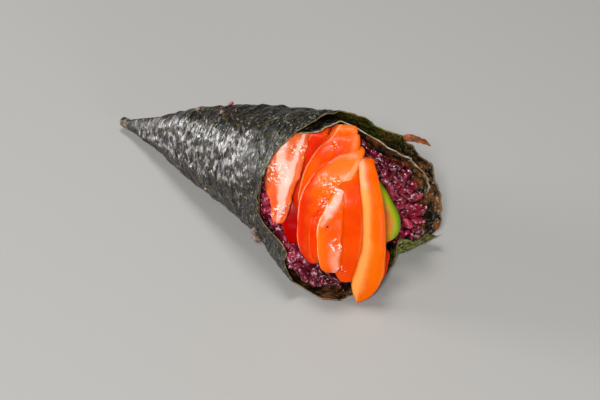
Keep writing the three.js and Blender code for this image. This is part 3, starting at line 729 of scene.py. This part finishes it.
def make_seaweed(material):
    share = np.arange(SEAWEED_COLUMNS + 1) / SEAWEED_COLUMNS
    turns = mix(WINDING * share, WINDING * share ** 2, COLUMN_EASING)
    rows = 1 - (1 - np.arange(SEAWEED_ROWS + 1) / SEAWEED_ROWS) ** ROW_EASING
    starts = mix(NUB_END, INNER_TIP, smooth_step(turns, *INNER_START))
    reach = look_up(RIM, turns) + np.array([torn_edge(turn) for turn in turns])
    x = starts + (reach - starts) * rows[:, None]
    turns = turns + 0 * x
    angles = START_ANGLE - turns
    in_lip = np.clip((x - (reach - CURL)) / CURL, 0, 1)
    smooth = roll_point(x, angles, 0)
    relief = np.array([creases(point) for point in smooth.reshape(-1, 3)]).reshape(x.shape)
    relief *= np.clip(x / CREASED_FROM, LEAST_CREASES, 1) * np.clip(smooth[..., 2] / CREASED_ABOVE, 0, 1)
    both = []
    for depth in (0, SHEET):
        face = roll_point(x, angles, turn_inset(x, turns) + depth - relief)
        face[..., 2] += look_up(LIP, turns) * in_lip ** 2
        face[..., 2] = np.maximum(face[..., 2], depth)
        both.append(face.reshape(-1, 3))
    points = np.concatenate(both)
    faces = sheet_faces()
    piece = make_piece("seaweed_sheet", points, faces, "nori_wrap", "seaweed", material)

    to_rim = np.minimum(reach - x, turns * END_ARC + END_MARGIN)
    to_end = (WINDING - turns) * END_ARC + END_MARGIN
    # where the inner turn's edge gets its painted highlight, and frays wider
    inner_edge_highlight = smooth_step(turns, *INNER_EDGE_FROM)
    edge = np.minimum(to_rim, to_end) - INNER_EDGE * inner_edge_highlight
    nub = 1 - smooth_step(x, *NUB_FADES)
    mossy = (1 - smooth_step(turns, *MOSSY_TURNS)) * smooth_step(x, *MOSSY_ALONG)
    under_crown = smooth_step(turns, *CROWN_STARTS) * (1 - smooth_step(turns, *CROWN_STOPS))
    # painted sheen, for light caught by the creases on the lit side
    painted_sheen = painted_sheen_of_creases(x, angles, smooth, relief)
    dull_side = smooth_step(x, *DULL_SIDE) * round_angle(angles, *DULL_ROUND)
    dull = np.maximum(dull_side, 1 - smooth_step(x, *DULL_TIP))
    looks = {
        "edge": (edge, edge), "inner_edge_highlight": (inner_edge_highlight, inner_edge_highlight), "nub": (nub, nub), "painted_sheen": (painted_sheen, painted_sheen),
        "inside": (0 * x, 1), "lush": (mossy, np.maximum(mossy, 0.5 * under_crown)), "dull": (dull, 0),
    }
    for name, (outer, inner) in looks.items():
        paint(piece, name, np.stack(np.broadcast_arrays(outer, inner)).reshape(-1))
    return points, faces


def painted_sheen_of_creases(x, angles, face, relief):
    """Painted sheen on the wet sheet: most on creases that tilt up and to the tip, where light catches them,
    along its lit side.
    """
    upward = -np.gradient(relief, axis=1) / norm(np.gradient(face, axis=1), axis=-1)
    tipward = np.gradient(relief, axis=0) / np.gradient(x, axis=0)
    tilted = smooth_step(0.8 * upward + 0.5 * tipward, -0.15, 0.3)
    near_tip = 1 - smooth_step(x, 18, 50)
    near_mouth = smooth_step(x, 68, 80)
    along_side = np.cos(np.radians(angles - SHEEN_ANGLE))
    band = smooth_step(along_side, 0.8 - 0.3 * near_tip, 0.97 - 0.2 * near_tip)
    strength = 0.75 - 0.58 * near_mouth - 0.1 * near_tip
    return (0.05 + strength * band) * (0.35 + 0.65 * tilted)


# ---- fish and avocado

SLICE_STEPS = 64
INNER_STEPS = 8
SLICE_SIDES = 44
SLICE_SEED = 11  # gives each slice bumps of its own
ROUND_END = 0.07  # share of the shown length over which a slice's free end rounds off
SLICE_BUMPS = [(0.22, 4.5), (0.12, 2.1), (0.06, 1.1)]  # their height and how far apart they are
LEAST_CLOSING = 0.02  # a slice's end closes down to the root of this
BURIED_RAYS = 6
BURIED_REACH = 5  # another piece darkens a point from this near


def face_point(across, up, out):
    return FACE_ORIGIN + FACE_ACROSS * across + FACE_UP * up + FACE_OUT * out


def slice_rings(rows, seed, raggedness):
    """Rings of a slice, and for each ring how far down the part that shows it lies."""
    mouth = face_point(*rows[0][:3])
    size = np.array(rows[0][3:])

    def inward(share):
        return [*(TIP + (mouth - TIP) * share), *(size * share)]

    spine = [inward(THROAT_SHARE)] + [[*face_point(*row[:3]), *row[3:]] for row in rows]
    rings = []
    downs = []
    for step in range(-INNER_STEPS, SLICE_STEPS + 1):
        share = max(step / SLICE_STEPS, 0)
        inner = mix(THROAT_SHARE, CORE_SHARE, -step / INNER_STEPS)
        x, y, z, width, thickness = inward(inner) if step < 0 else along(spine, share)
        heading = heading_at(spine, share, 0.02)
        side = unit(FACE_ACROSS - heading * heading.dot(FACE_ACROSS))
        face = np.cross(heading, side)
        ending = max((share - 1 + ROUND_END) / ROUND_END, 0)
        closing = math.sqrt(max(1 - ending ** 2, LEAST_CLOSING))
        ring = []
        for c, s in circle(SLICE_SIDES):
            a = 0.5 * width * math.copysign(abs(c) ** SLICE_BOXINESS, c)
            b = 0.5 * thickness * math.copysign(abs(s) ** SLICE_BOXINESS, s)
            point = np.array([x, y, z]) + side * a * closing + face * b * closing
            outward = unit(side * a + face * b)
            bump = sum(height * wobble(point, size, seed) for height, size in SLICE_BUMPS)
            ring.append(point + outward * bump * raggedness)
        rings.append(ring)
        downs.append(share)
    return rings, downs


def make_slice(number, rows):
    """One slice of fish; returns its piece and its search tree."""
    rings, downs = slice_rings(rows, SLICE_SEED * (number - 1), RAGGED.get(number, 1))
    points, faces = skin(rings)
    piece = make_piece(f"salmon_fillet_{number}", points, faces, f"salmon_slice_{number}", "salmon",
                       fish_material(number))
    offsets = np.asarray(points) - FACE_ORIGIN
    across, up = offsets.dot(FACE_ACROSS), offsets.dot(FACE_UP)
    wet = [1 - smooth_step(np.hypot(across - a, up - u) / reach, 0, 1.2) for a, u, reach in WET_SPOTS]
    paint(piece, "wet", np.max(wet, axis=0))
    around = [c for c, _ in circle(SLICE_SIDES)]
    paint(piece, "across", around * len(rings) + [0, 0])
    paint(piece, "down", [down for down in downs for _ in around] + [0, 1])
    return piece, search_tree(points, faces)


def search_tree(points, faces):
    return BVHTree.FromPolygons([Vector(point) for point in points], faces)


def paint_gap_shade(piece, trees):
    """Stores how much of the view out of each point is blocked by the other pieces close to it, which the
    flesh takes as painted shade.
    """
    gap_shade = []
    for vertex in piece.data.vertices:
        point = Vector(np.array(vertex.co) * 1000 + MIDDLE)
        normal = vertex.normal
        side = normal.orthogonal().normalized()
        other = normal.cross(side)
        start = point + normal * 0.1
        blocked = 0
        for c, s in circle(BURIED_RAYS):
            heading = (normal + side * c + other * s).normalized()
            blocked += any(tree.ray_cast(start, heading, BURIED_REACH)[0] for tree in trees)
        gap_shade.append(blocked / BURIED_RAYS)
    paint(piece, "gap_shade", gap_shade)


AVOCADO_SIDES = 72
AVOCADO_BUMPS = (0.12, 3)  # their height and how far apart they are
RIND_STEPS = 60
ENDS_FROM_RIND = [4, 6]  # how far from the rind the middles of the wedge's two ends count as lying


def avocado_outline(scale):
    """The wedge's outline in the face's plane, shrunk towards its middle."""
    looped = AVOCADO + AVOCADO[:1]
    outline = [along(looped, share) for share in np.linspace(0, 1, AVOCADO_SIDES, endpoint=False)]
    return [AVOCADO_MIDDLE + (point - AVOCADO_MIDDLE) * scale for point in outline]


def make_avocado(material):
    outlines = [avocado_outline(scale) for scale, _ in AVOCADO_END]
    rings = [[face_point(*point, AVOCADO_OUT + height) for point in outline]
             for outline, (_, height) in zip(outlines, AVOCADO_END)]
    body = [[TIP + (point - TIP) * share for point in rings[0]] for share in AVOCADO_BODY]
    height, size = AVOCADO_BUMPS
    bumped = [[point + FACE_OUT * height * wobble(point, size) for point in ring] for ring in body + rings]
    points, faces = skin(bumped)
    piece = make_piece("avocado_slice", points, faces, "avocado_wedge", "avocado", material)
    rind = np.array([along(AVOCADO, at / (len(AVOCADO) - 1)) for at in np.linspace(*RIND_POINTS, RIND_STEPS)])
    from_rind = [np.min(norm(rind - point, axis=1))
                 for outline in outlines[:1] * len(body) + outlines for point in outline]
    paint(piece, "from_rind", from_rind + ENDS_FROM_RIND)
    return search_tree(points, faces)


# ---- rice

CORE_COLUMNS = 240
CORE_ROWS = 24
FACE_ROWS = 40
CORE_DEPTH = 1.3  # the core lies this far behind the grains' middles
LUMP_SIZE = 2.3  # the core's face is made of rounded lumps this far apart
LUMP_HEIGHT = 1.5
GRAIN_PASSES = [(520, 1), (900, 0.55)]  # how many grains are tried, and their share of full size
GRAIN_STEPS = (0.5698403, 0.7548777)  # steps that spread the trials evenly over the face
GRAIN_REACH = 0.985  # grains are tried out to this share of the way to the face's edge
GRAIN_TILT = 0.5  # how far grains are tilted out of the face
GRAIN_LEVELS = 0.9  # and how far they lie over or under it
GRAIN_SIZES = (0.68, 0.95)
GRAIN_BEND = 0.5
GRAIN_PROBES = (-0.36, 0, 0.36)  # places along a grain that keep clear of everything
GRAIN_RINGS = 9
GRAIN_SIDES = 10
CORE_SHADE = 0.7  # the core and the sunk sides of grains are this much darker
SUNK = (-0.9, 0.7)  # heights over a grain's middle where that shade is full and ends
# Where the heap gets painted shade and where it gets painted light, as round_angle() takes it.
SHADES = [(-25, 0.45, 0.95, 0.75), (150, 0.6, 0.95, 0.6)]
LIT_PATCH = (-85, 0.75, 0.97, 0.9)
RICE_SEED = 7
CLEAR_OF_FISH = 1.1  # a grain's middle keeps this far from fish and avocado
CLEAR_OF_SHEET = 1.3  # and this far from the seaweed
GRAIN_SPACING = 2.3  # and this far from other grains' middles


def rice_face(angle, share, depth=0):
    """A point on the rice's face at the mouth, share 0 in its middle and 1 at its edge."""
    x = look_up(RICE_EDGE, (angle + 180) % 360 - 180)
    edge = roll_point(x, angle, space_inset(x, angle) + depth)
    return RICE_HEART + (edge - RICE_HEART) * share


def rice_core():
    angles = np.linspace(-180, 180, CORE_COLUMNS, endpoint=False)
    rings = []
    for row in range(CORE_ROWS):
        x = mix(RICE_TIP, look_up(RICE_EDGE, angles) - 1, row / CORE_ROWS)
        rings.append(list(roll_point(x, angles, space_inset(x, angles))))
    for share in np.linspace(1, 0.1, FACE_ROWS):
        ring = [rice_face(angle, share, 0.4) for angle in angles]
        rings.append([point + np.array([lump(point) - CORE_DEPTH, 0, 0]) for point in ring])
    return skin(rings)


def lump(point):
    """Height of the rounded lumps on the core's face, like grains packed close together."""
    nearest, _ = noise.voronoi(Vector(point) / LUMP_SIZE)
    return LUMP_HEIGHT * (0.4 - nearest[0] ** 2)


def grain_shape(centre, heading, outward, size, bend):
    """One grain: a plump spindle, slightly bent, with a blunt end and a narrower one."""
    side = unit(np.cross(heading, outward))
    rings = []
    for r in range(GRAIN_RINGS):
        lengthwise = -math.cos(math.pi * (r + 0.5) / GRAIN_RINGS)
        fullness = (1 - lengthwise ** 2) ** 0.42 * (1 - 0.12 * lengthwise)
        middle = centre + heading * 0.5 * GRAIN["length"] * size * lengthwise
        middle = middle - outward * bend * lengthwise ** 2
        a = 0.5 * GRAIN["width"] * min(1.2 * size, 1) * fullness
        b = 0.5 * GRAIN["thickness"] * min(1.2 * size, 1) * fullness
        rings.append([middle + side * (a * c) + outward * (b * s) for c, s in circle(GRAIN_SIDES)])
    return skin(rings)


def grain_places(filling, sheet):
    """Where the showing grains lie: middle, heading, outward direction and size of each."""
    draws = random.Random(RICE_SEED)
    placed = []
    trials = [(trial, fullness) for count, fullness in GRAIN_PASSES for trial in range(1, count + 1)]
    for trial, fullness in trials:
        angle = 360 * ((trial * GRAIN_STEPS[0]) % 1) - 180
        share = math.sqrt((trial * GRAIN_STEPS[1]) % 1) * GRAIN_REACH
        centre = rice_face(angle, share)
        around = rice_face(angle + 4, share) - centre
        outwards = rice_face(angle, share + 0.02) - centre
        normal = unit(np.cross(around, outwards))
        normal = normal if normal[0] > 0 else -normal
        spin = math.pi * draws.random()
        level = unit(around)
        across = np.cross(normal, level)
        tilt = normal * draws.uniform(-GRAIN_TILT, GRAIN_TILT)
        heading = unit(level * math.cos(spin) + across * math.sin(spin) + tilt)
        outward = unit(normal - heading * normal.dot(heading))
        centre = centre + outward * draws.uniform(-GRAIN_LEVELS, GRAIN_LEVELS)
        size = fullness * draws.uniform(*GRAIN_SIZES)
        spacing = GRAIN_SPACING * math.sqrt(fullness)
        if any(norm(centre - other[0]) < spacing for other in placed):
            continue
        probes = [Vector(centre + heading * reach * size * GRAIN["length"]) for reach in GRAIN_PROBES]
        if all(clear(probe, filling, sheet, fullness) for probe in probes):
            placed.append((centre, heading, outward, size))
    return placed


def clear(point, filling, sheet, fullness):
    """Whether a point is outside all of the filling and not too close to it or to the seaweed."""
    if sheet.find_nearest(point)[3] < CLEAR_OF_SHEET * fullness:
        return False
    for tree in filling:
        near, normal, _, distance = tree.find_nearest(point)
        if distance < CLEAR_OF_FISH * fullness or (point - near).dot(normal) < 0:
            return False
    return True


def make_rice(filling, sheet, material):
    skins = [rice_core()]
    pale_and_lit = [0] * len(skins[0][0])
    shaded = [CORE_SHADE] * len(pale_and_lit)
    draws = random.Random(RICE_SEED + 1)
    for centre, heading, outward, size in grain_places(filling, sheet):
        grain, shape = grain_shape(centre, heading, outward, size, draws.uniform(0, GRAIN_BEND))
        skins.append((grain, shape))
        pale_and_lit += [draws.random() ** 2] * len(grain)
        heights = (np.array(grain) - centre).dot(outward)
        shaded += list(CORE_SHADE * (1 - smooth_step(heights, *SUNK)))
    points, faces = joined(skins)
    piece = make_piece("rice_grains", points, faces, "rice_heap", "rice", material)
    offsets = np.asarray(points) - RICE_HEART
    angles = np.degrees(np.arctan2(offsets[:, 1], -offsets[:, 2]))
    patches = [round_angle(angles, *shade) for shade in SHADES]
    paint(piece, "shaded", np.maximum(shaded, np.max(patches, axis=0)))
    # paler grains at random, and painted light on the heap's bright side
    paint(piece, "pale_and_lit", np.maximum(pale_and_lit, round_angle(angles, *LIT_PATCH)))


# ---- crumbs and scraps

# Crumbs on the sheet: distance along x, angle, height of the middle over the sheet, and size.
CRUMBS = [
    (40.5, -177, 0.2, 1.5), (53, -174, 0.3, 1.6), (44.5, -161, 0.1, 1), (55, -171, 0.2, 0.8),
    (53.5, -67, 0.2, 1.1), (79.5, -50, 1, 2.6), (80.5, -66, 0.8, 1.7), (36, -42, 0.1, 0.9),
]
LARGE_CRUMB = 5  # the one with fibres
FIBRES = [(-2.2, -1, 2.4), (-1.2, -1.6, 2.8), (1.4, -1.4, 2.6), (2.6, -0.6, 1.4), (-0.4, -2.2, 1)]
FIBRE_RADIUS = 0.13
FIBRE_STEPS = 7
FIBRE_SIDES = 6
LOOSE_GRAIN = (52.5, 174)  # where a grain of rice lies on top: distance along x, and angle
LOOSE_GRAIN_SIZE = 0.5
# The torn flake on the rim at the right: places along it, and its width there.
FLAKE = [
    (106.2, 20.9, 38.6, 1.3), (108.1, 22.1, 38.9, 2.3), (110.1, 23.4, 38.4, 2),
    (111.8, 24.6, 37.8, 1.3), (113.3, 25.4, 36.6, 0.3),
]
FLAKE_THICKNESS = 0.35
FLAKE_FLAT = np.array([0.5, -0.5, 0.7])  # the way its flat side faces
FLAKE_STEPS = 24
FLAKE_SIDES = 16
SPECK = (-2.6, -5)  # place of the dark speck on the front slice: across and up
SPECK_SIZE = 0.6
FAR_FROM_EDGE = 9  # so that it isn't frayed as the sheet's edge is
LUMP_RINGS = 7
LUMP_SIDES = 10


def lumpy_ball(centre, size, seed):
    rings = []
    for r in range(LUMP_RINGS):
        tilt = math.pi * (r + 0.5) / LUMP_RINGS
        flat = math.sin(tilt)
        spokes = [np.array([math.cos(tilt), flat * c, flat * s]) for c, s in circle(LUMP_SIDES)]
        rings.append([centre + spoke * 0.5 * size * (1 + 0.45 * wobble(spoke, 0.8, seed))
                      for spoke in spokes])
    return skin(rings)


def strand(start, reach):
    """A thin tapering fibre that bends as it leaves its start."""
    side = unit(np.cross(reach, (0.3, 0.2, 1)))
    other = unit(np.cross(side, reach))
    rings = []
    for step in range(FIBRE_STEPS + 1):
        share = step / FIBRE_STEPS
        middle = start + reach * share + side * 0.5 * math.sin(3 * share)
        radius = FIBRE_RADIUS * (1 - 0.6 * share)
        rings.append([middle + radius * (side * c + other * s) for c, s in circle(FIBRE_SIDES)])
    return skin(rings)


def flake_skin():
    rings = []
    for step in range(FLAKE_STEPS + 1):
        share = step / FLAKE_STEPS
        *middle, width = along(FLAKE, share)
        heading = heading_at(FLAKE, share, 0.03)
        side = unit(np.cross(heading, FLAKE_FLAT))
        flat = np.cross(side, heading)
        spread = 1 + 0.3 * wobble(middle, 1.1)
        ring = []
        for c, s in circle(FLAKE_SIDES):
            over = 0.5 * width * c
            curled = 0.12 * over ** 2 + 0.3 * wobble((*middle[:2], over), 1.6)
            lift = 0.5 * FLAKE_THICKNESS * s + curled
            ring.append(np.array(middle) + side * over * spread + flat * lift)
        rings.append(ring)
    return skin(rings)


def make_scraps(front_slice, sheet_material):
    balls = [lumpy_ball(roll_point(x, angle, -over), size, 3 * n)
             for n, (x, angle, over, size) in enumerate(CRUMBS)]
    x, angle, over, _ = CRUMBS[LARGE_CRUMB]
    fibres = [strand(roll_point(x, angle, -over), np.array(reach)) for reach in FIBRES]
    crumbs = scrap_material("crumbs", "#94806e", "#6c5048")
    make_piece("crumbs", *joined(balls + fibres), None, "rice", crumbs)
    under, above = roll_point(*LOOSE_GRAIN, 0), roll_point(*LOOSE_GRAIN, -1)
    shape = grain_shape(above, unit(np.array([0.5, -0.2, 0.5])), unit(above - under), LOOSE_GRAIN_SIZE, 0.2)
    make_piece("loose_grain", *shape, None, "rice", scrap_material("loose_grain", "#8c3c48", "#b8808a"))
    flake = scrap_material("dry_flake", "#50240a", "#8c4818")
    make_piece("rim_flake", *flake_skin(), None, "seaweed", flake)
    start = Vector(face_point(*SPECK, 30))
    spot = np.array(front_slice.ray_cast(start, Vector(-FACE_OUT))[0])
    points, faces = lumpy_ball(spot, SPECK_SIZE, 1)
    speck = make_piece("nori_speck", points, faces, None, "seaweed", sheet_material)
    paint(speck, "edge", [FAR_FROM_EDGE] * len(points))


# ---- putting it together

nori = seaweed_material()
sheet_tree = search_tree(*make_seaweed(nori))
slices = [make_slice(number, rows) for number, rows in SALMON.items()]
filling = [tree for _, tree in slices] + [make_avocado(avocado_material())]
for piece, own_tree in slices:
    paint_gap_shade(piece, [tree for tree in filling if tree is not own_tree])
make_rice(filling, sheet_tree, rice_material())
make_scraps(filling[1], nori)

# ---- floor, light and camera


def make_floor():
    material, shader, _ = new_material("pale_floor")
    connect(shader, {"Base Color": FLOOR_COLOUR, "Roughness": 0.7})
    mesh = bpy.data.meshes.new("floor")
    corners = [(FLOOR_HALF * x, FLOOR_HALF * y, 0) for x, y in ((-1, -1), (1, -1), (1, 1), (-1, 1))]
    mesh.from_pydata(corners, [], [(0, 1, 2, 3)])
    mesh.materials.append(material)
    place_thing("floor", mesh)


def aim(thing, position, direction):
    thing.location = position
    thing.rotation_euler = direction.to_track_quat("-Z", "Y").to_euler()


def add_softbox(name, position, size, power):
    light = bpy.data.lights.new(name, "AREA")
    light.shape = "SQUARE"
    light.size = size
    light.energy = power
    aim(place_thing(name, light), position, Vector(LIT_POINT) - Vector(position))


def make_camera():
    camera = bpy.data.cameras.new("camera")
    camera.sensor_width = SENSOR_WIDTH
    camera.lens = LENS
    camera.clip_start = 0.01
    seat = place_thing("camera", camera)
    aim(seat, metres(CAMERA_PLACE), Vector(CAMERA_HEADING))
    bpy.context.scene.camera = seat


def light_the_room():
    room = bpy.data.worlds.new("studio")
    room.use_nodes = True
    connect(room.node_tree.nodes["Background"], {"Color": ROOM_COLOUR, "Strength": ROOM_STRENGTH})
    bpy.context.scene.world = room


make_floor()
for softbox in SOFTBOXES:
    add_softbox(*softbox)
make_camera()
light_the_room()
bpy.context.scene.view_settings.view_transform = "Standard"
